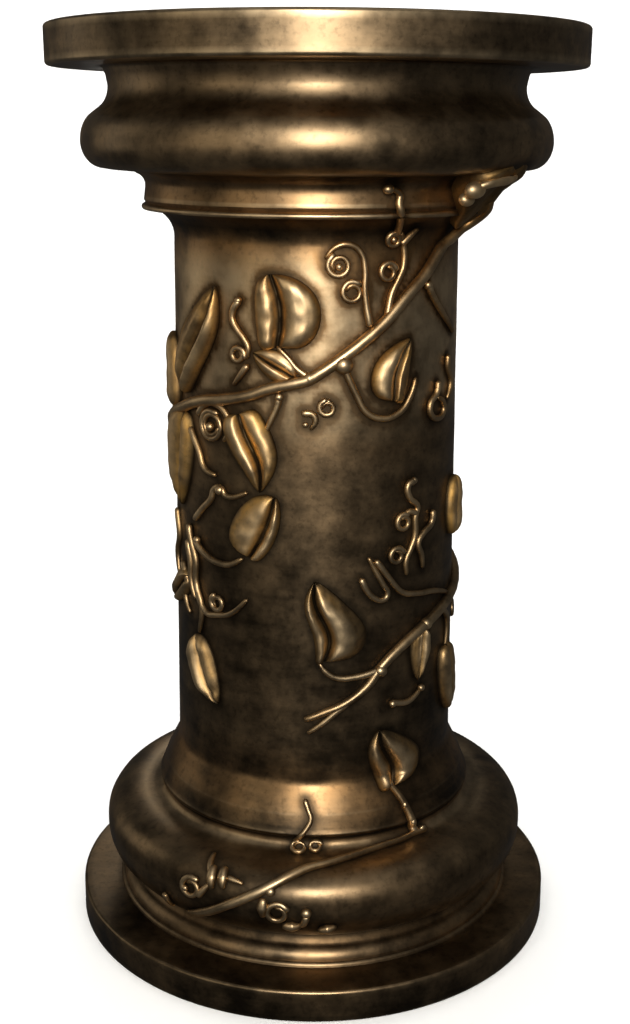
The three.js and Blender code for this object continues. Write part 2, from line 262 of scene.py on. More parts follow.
def name_new(name):
    obj = bpy.context.object
    obj.name = name
    obj.data.name = name
    return obj


def select_points(mesh_in_edit, wanted):
    """Select the points whose index is wanted, and nothing else."""
    for face in mesh_in_edit.faces:
        face.select = False
    for edge in mesh_in_edit.edges:
        edge.select = False
    for point in mesh_in_edit.verts:
        point.select = point.index in wanted
    mesh_in_edit.select_flush_mode()


def points_of(obj):
    values = np.empty(len(obj.data.vertices) * 3)
    obj.data.vertices.foreach_get("co", values)
    return values.reshape(-1, 3)


def set_points(obj, values):
    obj.data.vertices.foreach_set("co", np.ascontiguousarray(values).ravel())
    obj.data.update()


def store(obj, name, values):
    """Keep one number per point, for the material to read."""
    layer = obj.data.attributes.get(name) or obj.data.attributes.new(name, "FLOAT", "POINT")
    layer.data.foreach_set("value", np.ascontiguousarray(values, dtype=np.float32))


# %% [markdown]
# ## The body
# A round moulding is turned on a lathe. Here a single point on the axis is extruded along the
# half section, as a pencil would draw it, and the line is then spun once round the axis. The spin
# leaves a seam and a crowd of points on the axis, so doubles are merged, and the normals are made
# consistent after that.

# %% Body by extruding and spinning
AROUND = 224
MERGE_MM = 0.01


def turn_body(line):
    start_clean()
    bpy.ops.mesh.primitive_plane_add(size=MM, location=(0, 0, 0))
    turned = name_new("pedestal_body")
    bpy.ops.object.mode_set(mode="EDIT")
    bpy.ops.mesh.merge(type="CENTER")
    at = (0.0, 0.0)
    for r, z in line:
        bpy.ops.mesh.extrude_region_move(
            TRANSFORM_OT_translate={"value": ((r - at[0]) * MM, 0, (z - at[1]) * MM)})
        at = (r, z)
    bpy.ops.mesh.select_all(action="SELECT")
    bpy.ops.mesh.spin(steps=AROUND, angle=2 * math.pi, center=(0, 0, 0), axis=(0, 0, 1))
    bpy.ops.mesh.select_all(action="SELECT")
    bpy.ops.mesh.remove_doubles(threshold=MERGE_MM * MM)
    bpy.ops.mesh.normals_make_consistent(inside=False)
    bpy.ops.object.mode_set(mode="OBJECT")
    return turned


body = turn_body(section)
print("body:", len(body.data.polygons), "faces")

# %% [markdown]
# ## The skin that the vine lies on
# The vine is modelled flat, as a pattern maker would in wax on a bench, and then laid on the
# column. The skin says where a flat point goes: across is the way round, up is the walk along
# the outside of the mouldings, and lift is the height above them. There are two skins: the bridge
# skin runs straight from the drum to the capital, as the stout stem and its leaf do, and the close
# skin follows the neck, as the wires do. A short formula lays the flat points on.

# %% Skin
SKIN_SMOOTH = 5
BRIDGE_LINE = [(DRUM_TOP_RADIUS, DRUM_TOP_Z), (124.0, 612.0), (BAND_RADIUS + 2, BAND_Z + 3),
               (160.0, 644.0), (177.6, 654.4), (CAPITAL_RADIUS, CAPITAL_Z)]
NECK_LINE = [(DRUM_TOP_RADIUS, DRUM_TOP_Z), (121.0, 612.0), (132.0, 622.5), (BAND_RADIUS, 627.0),
             (SMALL_HOLLOW_RADIUS + 1.5, SMALL_HOLLOW_Z), (SOFFIT_INNER_RADIUS, 650.5),
             (176.0, 653.5), (188.0, 664.0), (CAPITAL_RADIUS, CAPITAL_Z)]


def skin_table(neck):
    line = torus_line(12) + foot_line(12) + neck
    r, z = np.array(line).T
    walk = np.concatenate([[0], np.cumsum(np.hypot(np.diff(r), np.diff(z)))])
    datum = int(np.argmin(np.abs(z - FLARE_TOP_Z) + np.where(r > DRUM_FOOT_RADIUS + 0.1, 99, 0)))
    walk += FLARE_TOP_Z - walk[datum]
    steps = np.arange(walk[0], walk[-1], 1.0)
    kernel = np.ones(SKIN_SMOOTH) / SKIN_SMOOTH
    rounded = [np.convolve(np.pad(np.interp(steps, walk, v), SKIN_SMOOTH // 2, mode="edge"),
                           kernel, mode="valid") for v in (r, z)]
    dr, dz = np.gradient(rounded[0]), np.gradient(rounded[1])
    size = np.hypot(dr, dz)
    return steps, rounded[0], rounded[1], dz / size, -dr / size


BRIDGE_SKIN = skin_table(BRIDGE_LINE)
CLOSE_SKIN = skin_table(NECK_LINE)
close_walk = CLOSE_SKIN[0]
print("close skin runs from", round(close_walk[0]), "to", round(close_walk[-1]), "mm of walk")


def lay_on(flat, sheet_radius, skin):
    """Flat points (across, walk, lift) in mm, as places on the column in metres."""
    angle = flat[:, 0] / sheet_radius
    walk, r, z, out_r, out_z = skin
    at = [np.interp(flat[:, 1], walk, v) for v in (r, z, out_r, out_z)]
    reach = at[0] + flat[:, 2] * at[2]
    height = at[1] + flat[:, 2] * at[3]
    return np.stack([reach * np.sin(angle), -reach * np.cos(angle), height], 1) * MM


def lay_piece(obj, sheet_radius=DRUM_TOP_RADIUS, full_lift=6.0, skin=BRIDGE_SKIN):
    """Store how high each point stands, then lay the flat piece on the column."""
    flat = points_of(obj)
    share = flat[:, 2] / full_lift
    store(obj, "crest", np.clip((share - 0.5) / 0.5, 0, 1) ** 1.3)
    # Low points near the column are darkened: painted shade at the foot of each piece.
    store(obj, "hollow", np.clip((0.35 - share) / 0.35, 0, 1))
    set_points(obj, lay_on(flat, sheet_radius, skin))
    return obj


# %% [markdown]
# ## Stems and tendrils
# On the real piece these are rods of wax pressed on to the pattern. A rod could be a row of
# extruded rings, but a curve with a round bevel bends more evenly and is quicker to draw. Each is
# given a width at every point, turned into a mesh and laid on the column. Its points are (angle
# from the front in degrees, walk in mm), and one more point past each end makes that end round.

# %% Rods
ROD_SIDES = 5
TORUS_SHEET = 165.0
START_SHARE, LAST_SHARE, TIP_SHARE = 0.25, 0.7, 0.2
PAST_END = 0.3


def rod(name, keys, widths, lift=0.28, sheet_radius=DRUM_TOP_RADIUS, detail=6, skin=BRIDGE_SKIN):
    """A rod through the keys, its widths spread evenly over them, with rounded ends."""
    start_clean()

    def past(inner, outer, width):
        run = math.hypot(math.radians(outer[0] - inner[0]) * sheet_radius, outer[1] - inner[1])
        return tuple(o + (o - i) * PAST_END * width / run for i, o in zip(inner, outer))

    keys = [past(keys[1], keys[0], widths[0]), *keys, past(keys[-2], keys[-1], widths[-1])]
    end_shares = {0: START_SHARE, len(keys) - 2: LAST_SHARE, len(keys) - 1: TIP_SHARE}
    bpy.ops.curve.primitive_bezier_curve_add()
    obj = name_new(name)
    spline = obj.data.splines[0]
    spline.bezier_points.add(len(keys) - 2)
    for i, (point, (angle, walk)) in enumerate(zip(spline.bezier_points, keys)):
        width = float(np.interp(i / (len(keys) - 1), np.linspace(0, 1, len(widths)), widths))
        width *= end_shares.get(i, 1)
        point.handle_left_type = point.handle_right_type = "AUTO"
        point.co = (math.radians(angle) * sheet_radius, walk, lift * width)
        point.radius = width / 2
    obj.data.bevel_depth = 1.0
    obj.data.bevel_resolution = ROD_SIDES - 2
    obj.data.resolution_u = detail
    obj.data.use_fill_caps = True
    bpy.ops.object.convert(target="MESH")
    return lay_piece(bpy.context.object, sheet_radius, max(widths) * (0.5 + lift), skin)


def curl_keys(centre, radius, start, turns, sheet_radius=DRUM_TOP_RADIUS):
    """A spiral that winds in towards its end, for the tip of a tendril."""
    keys = []
    count = max(4, round(abs(turns) * 8))
    for i in range(count + 1):
        t = i / count
        phase = math.radians(start) + t * turns * 2 * math.pi
        reach = radius * (1 - 0.45 * t)
        across = reach * math.cos(phase) / sheet_radius
        keys.append((centre[0] + math.degrees(across), centre[1] + reach * math.sin(phase)))
    return keys


# %% [markdown]
# ## Where the stems run
# The main stem starts in a fork low on the front, climbs to the right, goes round the back, comes
# back at the left and ends under the capital at the right. The back is a guess in keeping.

# %% Stems
MAIN_STEM = [
    (-3, 220), (4, 226), (12, 233), (21, 247), (26, 260), (36, 276), (49, 288), (67, 299),
    (110, 322), (160, 350), (215, 384), (250, 418), (276, 447), (300, 467), (312, 475), (323, 479),
    (335, 485), (344, 492), (352, 496), (357, 499), (362, 505), (369, 515), (377, 527), (386, 542),
    (395, 560), (404, 575), (413, 593), (421, 606), (426, 618), (426, 632), (422, 646),
]
BRANCHES = [
    [(13, 234), (8, 225), (3, 216), (-2, 208)],
    [(-59, 366), (-57, 352), (-54, 340), (-54, 320), (-50, 300), (-52, 278)],
    [(-60, 352), (-58, 336), (-58, 320), (-55, 306)],
    [(-2.2, 500), (-4.5, 503.5), (-6.8, 507), (-10.1, 515), (-14, 523)],
    [(-54, 356), (-48, 348), (-41, 344), (-34, 345), (-29, 351)],
    [(10, 511), (11.5, 503), (13, 496), (15.6, 485), (19, 473), (25, 467), (33, 470), (38, 481),
     (41, 495)],
    [(26, 259), (16, 255), (8, 256), (4, 262), (2, 268)],
    [(46.7, 567), (49, 560), (56, 545), (68, 526)],
    [(49, 288), (46, 280), (46, 268)],
    [(60, 295), (68, 280), (67, 256)],
    [(200, 374), (212, 410), (216, 452)],
    [(116, 325), (122, 345), (120, 362)],
    [(160, 350), (158, 330), (150, 316)],
    [(158, 349), (164, 352), (168, 363)],
    [(230, 400), (234, 408), (237, 418)],
    [(254, 424), (253, 412), (250, 400)],
    [(128, 332), (130, 322), (128, 308)],
    [(178, 361), (182, 352), (184, 340)],
]
BASE_STEM = [(41, 104), (36, 105), (30, 103), (21, 100), (11, 92), (5, 86), (-1, 80), (-5, 73),
             (-10.6, 62), (-15, 54), (-20, 45), (-28, 30), (-34, 20)]
BASE_TWIG = [(37, 106), (36, 118), (35, 129), (32, 147), (27, 165), (26, 190)]

stems = [rod("main_stem", MAIN_STEM, (4.6, 8.4, 9.4, 9.6, 9.4, 9.4, 8.6))]
stems += [rod("branch", keys, (6.2, 4.8)) for keys in BRANCHES]
stems.append(rod("base_stem", BASE_STEM, (5.6, 6.0, 7.0, 8.0, 6.0), sheet_radius=TORUS_SHEET))
stems.append(rod("base_twig", BASE_TWIG, (7.4, 5.0), sheet_radius=DRUM_FOOT_RADIUS))
print("stems:", len(stems))

# %% [markdown]
# ## Tendrils, curls and beads
# Thin wires that leave the stems and wind into a ring, with a small bead where one was pressed
# down with a finger. They are the finest work on the piece and catch the light as bright lines.
# They are made as the stems are, only thinner, and a ring is a short spiral worked out from its
# centre, radius and number of turns, so that each can differ a little.

# %% Tendrils
WIRE = (5.8, 4.6)
CURL_WIRE = (4.8, 3.6)
DROP_WIDTHS = (4.4, 8.6, 4.8)
TENDRILS = [
    [(20, 540), (18.5, 557), (18, 568), (18, 582), (16.5, 594), (12, 601), (7, 599), (3.5, 591)],
    [(27, 545), (29, 563), (32, 574), (34, 583), (34, 597), (32, 609)],
    [(30, 610), (28, 626), (25, 642), (25, 652), (22, 657)],
    [(33, 601), (35.5, 606), (38.5, 612)],
    [(-30, 556), (-32.3, 549), (-32.6, 542), (-30.6, 535), (-27.6, 528), (-25.8, 521),
     (-26.4, 514)],
    [(-26.4, 507), (-29, 500), (-32, 492)],
    [(-13.8, 483), (-14.1, 479), (-16.6, 467), (-19, 456)],
    [(-4.3, 473), (-1, 472), (0, 467), (-1.5, 461)],
    [(41, 413), (38, 410), (39, 399), (43, 391), (42, 383), (42, 366), (40, 357), (37.5, 347),
     (38, 336)],
    [(53, 382), (52, 373), (47, 367), (44, 360), (46, 349), (47, 338)],
    [(42, 386), (39, 388), (37, 387)],
    [(18, 337), (20, 328), (23, 321), (27, 318), (29, 322), (27, 331), (24, 342), (21, 354)],
    [(24, 351), (28, 340), (32, 329), (36, 321), (43, 317), (55, 313), (68, 304)],
    [(63, 507), (63, 499), (67, 485), (64, 473)],
    [(55, 488), (54, 480), (50, 473), (50, 465), (55, 459), (60, 463), (59.5, 471), (55.5, 476)],
    [(-57, 449), (-51, 432), (-48, 420), (-42, 416)],
    [(-51, 464), (-47, 472), (-41, 474), (-36, 468), (-34, 457), (-37, 446)],
    [(-82, 472), (-77, 458), (-80, 444), (-75, 430)],
    [(-74, 372), (-71, 352), (-75, 334), (-72, 316)],
    [(-66, 330), (-62, 318), (-64, 304), (-60, 290)],
    [(-54, 375), (-49, 386), (-44, 396), (-42, 405), (-39, 407), (-36, 401), (-27, 406)],
    [(-54, 320), (-48, 298), (-40, 299), (-34, 303), (-27, 317)],
    [(32, 227), (40, 224), (47, 231)],
    [(196, 372), (204, 360), (203, 344), (208, 334)],
    [(144, 342), (148, 360), (144, 376), (149, 388)],
    [(240, 410), (243, 432), (236, 448), (240, 462)],
    [(95, 314), (100, 298), (96, 280)],
    [(262, 430), (266, 452), (258, 468)],
]
CURLS = [
    # centre, radius, start in degrees, turns
    ((8.3, 585), 9.0, 120, 1.3), ((13.3, 565), 8.4, 50, 1.3), ((27.4, 579), 7.4, 20, 1.2),
    ((29.2, 604), 6.4, 60, 1.2), ((-30.3, 515), 6.4, 350, 1.2), ((4.3, 477), 6.4, 100, 1.2),
    ((-43.5, 456), 12.5, 60, 1.8), ((-41, 309), 7.0, 120, 1.3), ((36, 380), 7.0, 60, 1.2),
    ((33, 353), 7.0, 20, 1.2), ((212, 330), 8.0, 160, 1.3), ((153, 392), 8.0, 180, 1.3),
    ((236, 468), 8.0, 0, 1.3), ((92, 272), 7.0, 60, 1.2), ((254, 474), 7.0, 0, 1.2),
]
BASE_TENDRILS = [
    [(-3, 148), (-1.7, 140), (-0.9, 134), (-2.3, 126), (-5, 118), (-7, 111)],
    [(-26.7, 62), (-28.3, 70), (-29.3, 81)],
    [(-29.4, 44), (-28, 50), (-26.9, 55)],
    [(-40.9, 31), (-39.8, 19)],
    [(-21.7, 63), (-18.1, 61)],
    [(-1.6, 39), (-2.3, 33), (-3.6, 30)],
]
BASE_DROPS = [
    [(-26.8, 68), (-26.4, 60), (-26, 53)],
    [(-23.8, 69), (-23.4, 62), (-23, 55)],
    [(-12.2, 51), (-12.3, 45), (-12.2, 38)],
    [(-6.8, 30.5), (-5, 30), (-3.2, 30.5)],
    [(1.9, 26), (3.6, 27.5), (5.3, 29)],
]
BASE_CURLS = [
    ((-4.8, 107), 7.4, 90, 1.2), ((0.8, 108), 6.4, 20, 1.1), ((-31.9, 48), 8.6, 60, 1.2),
    ((-8.7, 41), 8.4, 30, 1.2),
]

tendrils = [rod("tendril", keys, WIRE, lift=0.22, skin=CLOSE_SKIN) for keys in TENDRILS]
tendrils += [rod("curl", curl_keys(*c), CURL_WIRE, lift=0.3, detail=3, skin=CLOSE_SKIN)
             for c in CURLS]
tendrils += [rod("base_tendril", keys, WIRE, lift=0.2, sheet_radius=TORUS_SHEET)
             for keys in BASE_TENDRILS]
tendrils += [rod("base_drop", keys, DROP_WIDTHS, lift=0.2, sheet_radius=TORUS_SHEET)
             for keys in BASE_DROPS]
tendrils += [rod("base_curl", curl_keys(*c, TORUS_SHEET), CURL_WIRE, lift=0.3, detail=3,
                 sheet_radius=TORUS_SHEET) for c in BASE_CURLS]
print("tendrils:", len(tendrils))

# %% [markdown]
# ## Beads and knots
# Where a wire was pressed down there is a small bead, and where a branch leaves the stout stem
# there is a knot. Both are balls sunk into the surface to a third of their height. Their width is
# given with each, because the knots are nearly twice as big as the beads.

# %% Beads
BEADS = [
    # angle, walk, width
    (20.8, 657, 7.4), (29, 604, 5.4), (46.7, 567, 7.4), (-13.5, 485, 7.2), (-53, 357, 7.0),
    (41, 413, 6.0), (32, 226, 6.6), (47, 232, 6.6), (-30, 557, 5.8), (-44, 455, 7.6),
    (-39, 405, 8.2), (8.3, 584, 5.6), (-3.7, 464, 4.6), (4.8, 482, 4.4), (-2.2, 500, 10.4),
    (10.0, 510.5, 14.5), (26, 258, 11.0), (49, 288, 10.6), (116, 325, 10.6), (160, 350, 10.6),
    (200, 375, 10.6),
]
BASE_BEADS = [(-33.6, 46, 5.2), (-10.5, 58, 7.4), (-1.6, 43, 7.6), (40, 106, 9.0),
              (36, 119, 8.4), (34, 135, 7.6), (30, 155, 7.6)]
CAPITAL_LOBES = [(42, 671, 12.5), (43.5, 662, 9.0), (43.5, 655, 10.5)]


def bead(angle, walk, width, sheet_radius, skin=CLOSE_SKIN, lift=0.22):
    start_clean()
    bpy.ops.mesh.primitive_uv_sphere_add(
        segments=14, ring_count=10, radius=width / 2,
        location=(math.radians(angle) * sheet_radius, walk, width * lift))
    bpy.ops.object.transform_apply(location=True, rotation=True, scale=True)
    return lay_piece(name_new("bead"), sheet_radius, width * (0.44 + lift), skin)


beads = [bead(*row, DRUM_TOP_RADIUS) for row in BEADS]
beads += [bead(*row, TORUS_SHEET) for row in BASE_BEADS]
print("beads:", len(beads))

# %% [markdown]
# ## Leaves
# A grid is the start. Its columns are lifted to give the cross section: two lobes beside a sunk
# rib. Its rows are then scaled, which narrows and lowers the leaf towards stalk and tip. Its rim
# is extruded down to give the steep side that shows as a dark line round each leaf. A few leaves
# are modelled and copied, each copy with its own length, widths and turn.

# %% Leaf patterns
LEAF_COLUMNS = [-1, -0.96, -0.86, -0.7, -0.52, -0.36, -0.22, -0.12, -0.05,
                0, 0.05, 0.12, 0.22, 0.36, 0.52, 0.7, 0.86, 0.96, 1]
LEAF_ROWS = 24
LEAF_RIM_DROP = 5.0
PATTERNS = {
    # Left and right of the rib: how far out the crest lies, how high it is, how full it stays to
    # the rim. Then the height of the rib, and how blunt the leaf is at its base and at its tip.
    name: {"left": left, "right": right, "rib": rib, "base": base, "tip": tip}
    for name, left, right, rib, base, tip in (
        ("shell", (0.8, 1.0, 0.5), (0.6, 0.6, 0.6), 0.1, 0.5, 0.22),
        ("plump", (0.48, 0.85, 0.5), (0.45, 1.0, 0.45), 0.05, 0.36, 0.42),
        ("folded", (0.30, 0.80, 1.0), (0.42, 1.0, 0.6), 0.0, 0.5, 0.75),
        ("drop", (0.50, 1.0, 0.5), (0.22, 0.7, 1.2), 0.18, 0.36, 0.75),
        ("cupped", (0.55, 0.85, 0.7), (0.26, 1.0, 1.25), 0.0, 0.36, 0.72),
        ("broad", (0.26, 0.85, 0.7), (0.60, 1.0, 0.7), 0.05, 0.30, 0.5),
    )
}
RIM_LIP = 0.25
RIM_WALL = 0.45


def leaf_height(v, kind):
    """Height of the cross section at v, from -1 at the left rim to 1 at the right."""
    crest, high, fullness = kind["left" if v < 0 else "right"]
    a = abs(v)
    if a < crest:
        return kind["rib"] + (high - kind["rib"]) * math.sin(a / crest * math.pi / 2) ** 1.2
    t = (a - crest) / (1 - crest)
    return high * max(0.0, math.cos(t * math.pi / 2)) ** fullness


def leaf_share(t, kind):
    """Half width along the leaf, as a share of the widest."""
    def raw(s):
        return s ** kind["base"] * (1 - s) ** kind["tip"]
    return raw(min(max(t, 0.0), 1.0)) / raw(kind["base"] / (kind["base"] + kind["tip"]))


def model_leaf(name, kind):
    """A leaf of length 1 and half width 1, with its stalk end at the origin."""
    start_clean()
    bpy.ops.mesh.primitive_grid_add(x_subdivisions=len(LEAF_COLUMNS) - 1,
                                    y_subdivisions=LEAF_ROWS - 1, size=2, location=(0, 0, 0))
    leaf = name_new(name)
    bpy.ops.object.mode_set(mode="EDIT")
    grid = bmesh.from_edit_mesh(leaf.data)
    place = {point.index: (point.co.x, point.co.y) for point in grid.verts}
    xs = sorted({round(x, 4) for x, _ in place.values()})
    ys = sorted({round(y, 4) for _, y in place.values()})
    for x, v in zip(xs, LEAF_COLUMNS):
        select_points(grid, {i for i, at in place.items() if abs(at[0] - x) < 1e-3})
        bpy.ops.transform.translate(value=(v - x, 0, leaf_height(v, kind)))
    for n, y in enumerate(ys):
        t = 0.5 - 0.5 * math.cos(math.pi * n / (len(ys) - 1))
        share = max(0.03, leaf_share(t, kind))
        select_points(grid, {i for i, at in place.items() if abs(at[1] - y) < 1e-3})
        bpy.ops.transform.translate(value=(0, t - y, 0))
        bpy.ops.transform.resize(value=(share, 1, min(1.0, 0.1 + 1.1 * share)),
                                 center_override=(0, t, 0))
    bpy.ops.mesh.select_all(action="DESELECT")
    bpy.ops.mesh.select_mode(type="EDGE")
    bpy.ops.mesh.select_non_manifold(extend=False)
    bpy.ops.mesh.extrude_region_move(TRANSFORM_OT_translate={"value": (0, 0, -RIM_LIP)})
    bpy.ops.mesh.extrude_region_move(TRANSFORM_OT_translate={"value": (0, 0, -RIM_WALL)})
    bpy.ops.mesh.edge_face_add()
    bpy.ops.mesh.select_mode(type="VERT")
    bpy.ops.mesh.select_all(action="SELECT")
    bpy.ops.mesh.normals_make_consistent(inside=False)
    bpy.ops.object.mode_set(mode="OBJECT")
    bpy.ops.object.modifier_add(type="SUBSURF")
    smooth = leaf.modifiers[-1]
    smooth.levels = smooth.render_levels = 1
    bpy.ops.object.modifier_apply(modifier=smooth.name)
    return leaf


patterns = {name: model_leaf("leaf_" + name, kind) for name, kind in PATTERNS.items()}
print("leaf patterns:", {n: len(p.data.vertices) for n, p in patterns.items()})

# %% [markdown]
# ## Laying the leaves
# Each leaf is given by its stalk end and its tip, how far it reaches to each side of the rib, how
# far the rib bows or snakes to the side, how far its lobes hang back beside the stalk, and how high
# it stands. Two soft noises dent and streak it, as a thumb and a tool do. The leaf under the
# capital is longer and is sunk deeper, because it bridges the hollow there, and it is darkened all
# over as painted shade. It has a rolled rim and small lobes that are made bright, as rubbed metal
# and as a painted highlight.

# %% Leaves
LEAVES = [
    # pattern, stalk end, tip, left reach, right reach, bow, snake, hang, height
    ("plump", (-14.5, 523), (-17, 578), 20, 31, 5, 0, 5, 9.0),
    ("folded", (-62, 478), (-41, 566), 28, 15, 2, -3, 2, 10.5),
    ("plump", (-75, 462), (-80, 522), 18, 18, 0, 0, 3, 8.5),
    ("folded", (-7.5, 499.5), (-24, 518), 11, 13, 0, 0, 0, 4.4),
    ("drop", (30, 480), (38, 528), 20, 15, -5, 0, 3, 9.0),
    ("cupped", (-30, 469), (-21, 408), 20, 21, -4, 2, 4, 8.5),
    ("broad", (-25, 354), (-15, 405), 29, 10, 3, 0, 2, 8.0),
    ("folded", (-61, 462), (-66, 381), 14, 36, 0, 0, 2, 9.5),
    ("plump", (-104, 440), (-110, 384), 18, 18, 0, 0, 3, 8.5),
    ("folded", (-54, 275), (-41, 220), 15, 20, 3, 0, 0, 8.0),
    ("cupped", (-60, 322), (-82, 288), 12, 14, 0, 0, 0, 6.5),
    ("cupped", (3.5, 270), (0, 337), 12, 31, 3, 4, 4, 9.0),
    ("plump", (73, 354), (74, 404), 15, 15, 0, 0, 2, 8.5),
    ("drop", (47, 284), (45, 240), 10, 11, 0, 0, 0, 6.0),
    ("plump", (66, 258), (71, 196), 15, 15, 0, 0, 2, 8.5),
    ("cupped", (31, 152), (26, 205), 17, 32, 3, 3, 3, 8.5),
    ("broad", (121, 350), (132, 408), 32, 13, 4, 0, 5, 8.5),
    ("cupped", (151, 322), (140, 256), 16, 28, 3, 4, 3, 9.0),
    ("plump", (216, 446), (214, 502), 20, 31, 5, 0, 5, 9.0),
    ("drop", (168, 362), (156, 424), 15, 24, 3, 0, 3, 9.0),
    ("folded", (236, 416), (252, 486), 15, 28, -2, 3, 2, 10.0),
    ("broad", (250, 402), (243, 350), 11, 27, 3, 0, 2, 8.0),
    ("plump", (128, 310), (122, 268), 14, 18, 0, 0, 3, 8.0),
    ("cupped", (184, 340), (190, 292), 14, 20, -2, 3, 3, 8.0),
]
CAPITAL_LEAF = ("shell", (63, 612), (54, 690), 27, 15, 0, 0, 2, 5.0)
CAPITAL_LEAF_SINK = 22.0
CAPITAL_LEAF_SHADE = 0.6
RIM_WIDTHS = (5.0, 6.0, 5.6, 3.4)
CAPITAL_RIM = [(43, 673), (44, 676.5), (47, 678.5), (51, 679.5), (56, 680)]
LEAF_DENT_MM = 0.9
LEAF_DENT_SIZE_MM = 9.0
LEAF_STREAK_MM = 0.5
LEAF_STREAK_SIZE = (0.11, 0.6)


def lay_leaf(pattern, stalk, tip, left, right, bow, snake, hang, height, sink=LEAF_RIM_DROP):
    source = patterns[pattern]
    leaf = source.copy()
    leaf.data = source.data.copy()
    bpy.context.scene.collection.objects.link(leaf)
    leaf.name = leaf.data.name = "leaf"
    v, t, h = points_of(leaf).T
    t = np.clip(t, 0, 1)
    from_stalk = np.array([math.radians(stalk[0]) * DRUM_TOP_RADIUS, stalk[1]])
    run = np.array([math.radians(tip[0]) * DRUM_TOP_RADIUS, tip[1]]) - from_stalk
    length = np.hypot(*run)
    ahead = run / length
    aside = np.array([ahead[1], -ahead[0]])
    across = v * np.where(v < 0, left, right)
    across = across + np.sin(np.pi * t) * bow + np.sin(2 * np.pi * t) * snake
    along = t * length - hang * np.abs(v) ** 1.5 * (1 - t) ** 3 * 2.5
    flat_xy = from_stalk + np.outer(along, ahead) + np.outer(across, aside)
    lift = np.where(h > 0, 0.8 + h * height, h * sink / (RIM_LIP + RIM_WALL))
    dents = [noise.noise(Vector((x, y, height)) / LEAF_DENT_SIZE_MM) for x, y in flat_xy]
    wide, long = LEAF_STREAK_SIZE
    streaks = [noise.noise((a / wide, b / long, height)) for a, b in zip(v, t)]
    worn = LEAF_DENT_MM * np.array(dents) + LEAF_STREAK_MM * np.array(streaks)
    lift += np.where(h > 0.1, worn, 0)
    set_points(leaf, np.column_stack([flat_xy, lift]))
    lay_piece(leaf, DRUM_TOP_RADIUS, height)
    # The groove along the rib and the foot of the rim are darkened: painted shade over patina.
    groove = np.exp(-(v / 0.07) ** 2) * (h > 0)
    foot = np.clip(1 - h / 0.42, 0, 1)
    store(leaf, "hollow", np.clip(groove + foot, 0, 1))
    return leaf


leaves = [lay_leaf(*row) for row in LEAVES]
leaves.append(lay_leaf(*CAPITAL_LEAF, sink=CAPITAL_LEAF_SINK))
capital_leaf = leaves[-1]
# The whole leaf under the capital is darkened: painted shade under the capital's overhang.
store(capital_leaf, "hollow", np.full(len(capital_leaf.data.vertices), CAPITAL_LEAF_SHADE))
leaves.append(rod("leaf_rim", CAPITAL_RIM, RIM_WIDTHS, lift=1.1, detail=8))
lobes = [bead(*row, DRUM_TOP_RADIUS, BRIDGE_SKIN, 0.6) for row in CAPITAL_LOBES]
# The rolled rim and the lobes are made full bright: rubbed metal that also serves as a painted
# highlight.
for lobe in [leaves[-1], *lobes]:
    store(lobe, "crest", np.full(len(lobe.data.vertices), 1.0))
leaves += lobes
for source in patterns.values():
    bpy.data.objects.remove(source)
print("leaves:", len(leaves))

# %% [markdown]
# ## Joining what belongs together
# The vine's rods become one mesh, its wires and beads another and its leaves a third, so that the
# finished model has a few clear pieces. Their feet stay sunk in the body, as a joined casting's
# would, and no cut is needed there because nobody sees it.

# %% Join


def join(parts, name):
    start_clean()
    for part in parts:
        part.select_set(True)
    bpy.context.view_layer.objects.active = parts[0]
    bpy.ops.object.join()
    return name_new(name)


vine_stems = join(stems, "vine_stems")
vine_tendrils = join(tendrils + beads, "vine_tendrils")
vine_leaves = join(leaves, "vine_leaves")
vine = [vine_stems, vine_tendrils, vine_leaves]
for piece in vine:
    print(piece.name, len(piece.data.polygons), "faces")

# %% [markdown]
# ## Uneven casting, stored patina, painted shade and painted highlight
# A cast surface is never quite true, so the body's points move in and out by a fraction of a
# millimetre. Two numbers are stored on the points: crest, high where hands and cloth have rubbed
# the dark patina off, and also in bands that are a painted highlight where the front light's
# reflection falls; and hollow, high in grooves, close beside the vine and under the lips, which
# darkens those places as painted shade over the patina that stays there. They could be painted by
# hand. Here they are worked out from the shape, by how much the half section bends and how near
# the vine is, so that they move with it.

# %% Unevenness and patina values
WAVE_MM = 0.35
WAVE_SIZE_MM = 38.0
HALO_MM = 5.0
RUB_AND_SHEEN_BY_HEIGHT = [
    # height in mm, how bright the metal is made there: rubbed-off patina, and at the ovolo, the
    # foot hollow and the drum top also a painted highlight where the front light's reflection falls
    (0, 0), (27.5, 0), (29, 0.25), (40, 0.2), (44, 0), (111, 0), (114, 0.7), (118, 0.6), (120, 0),
    (440, 0), (480, 0.8), (525, 1.0), (575, 1.0), (596, 0.2), (604, 0), (762, 0),
]
LIP_SHADOW_BY_HEIGHT = [
    # height, how dark the painted shade lies under a lip
    (0, 0), (44, 0), (48, 0.7), (58, 0.6), (70, 0.2), (76, 0), (119, 0), (121, 0.9), (124, 0.9),
    (125.5, 0), (605, 0), (612, 0.6), (621, 0.6), (623, 0), (762, 0),
]
EDGE_RUB_BY_HEIGHT = [
    # height, how much of the rubbing on ridges is kept
    (0, 0.3), (50, 0.3), (64, 0.5), (100, 0.5), (112, 1.0), (121, 0.3), (131, 0.3), (140, 1.0),
    (640, 1.0), (655, 0.6), (762, 0.7),
]


def uneven(obj, depth_mm, size_mm):
    places = points_of(obj)
    radius = np.hypot(places[:, 0], places[:, 1])
    free = (places[:, 2] > 2 * MM) & (places[:, 2] < (HEIGHT_MM - 2) * MM)
    wave = np.array([noise.noise(Vector(p) / (size_mm * MM)) for p in places]) - 0.6
    scale = np.where(free, 1 + wave * depth_mm * MM / np.maximum(radius, 1e-6), 1)
    places[:, :2] *= scale[:, None]
    set_points(obj, places)


